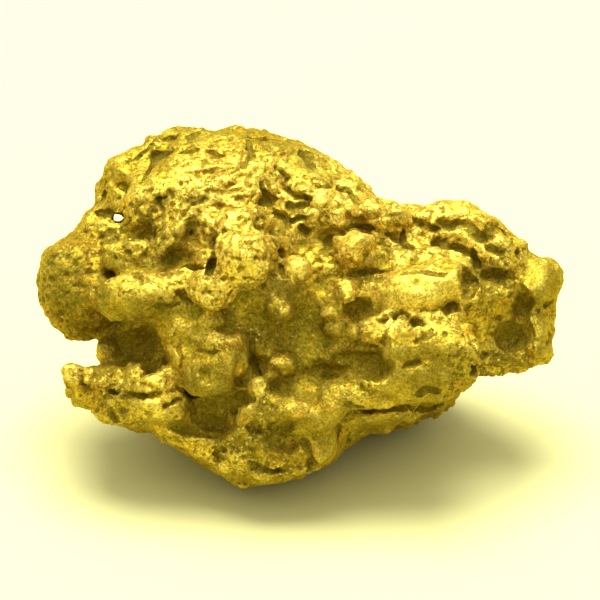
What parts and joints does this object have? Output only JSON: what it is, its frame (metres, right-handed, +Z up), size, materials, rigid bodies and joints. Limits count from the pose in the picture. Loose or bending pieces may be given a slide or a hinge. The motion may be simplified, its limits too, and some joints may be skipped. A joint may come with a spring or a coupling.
{
  "type": "gold nugget",
  "caption": "Lumpy placer gold nugget: a domed crown, a pitted hollow middle, a deep side cave and knobbly lobes, lying on its worn underside.",
  "frame": {"origin": "centre of the bounding box at the ground the nugget lies on", "axes": "+X along the nugget's length, towards its lower, narrower end; +Z up; the broad hollowed face looks towards -Y and up"},
  "size_m": [0.0266, 0.0156, 0.016],
  "materials": {
    "native_gold": "natural native gold: worn satin on the high lobes, spongy and sparkling where pitted, olive-brown dirt and orange iron stain in the hollows"
  },
  "bodies": {
    "root": {"gold_nugget": "native_gold"}
  },
  "joints": []
}
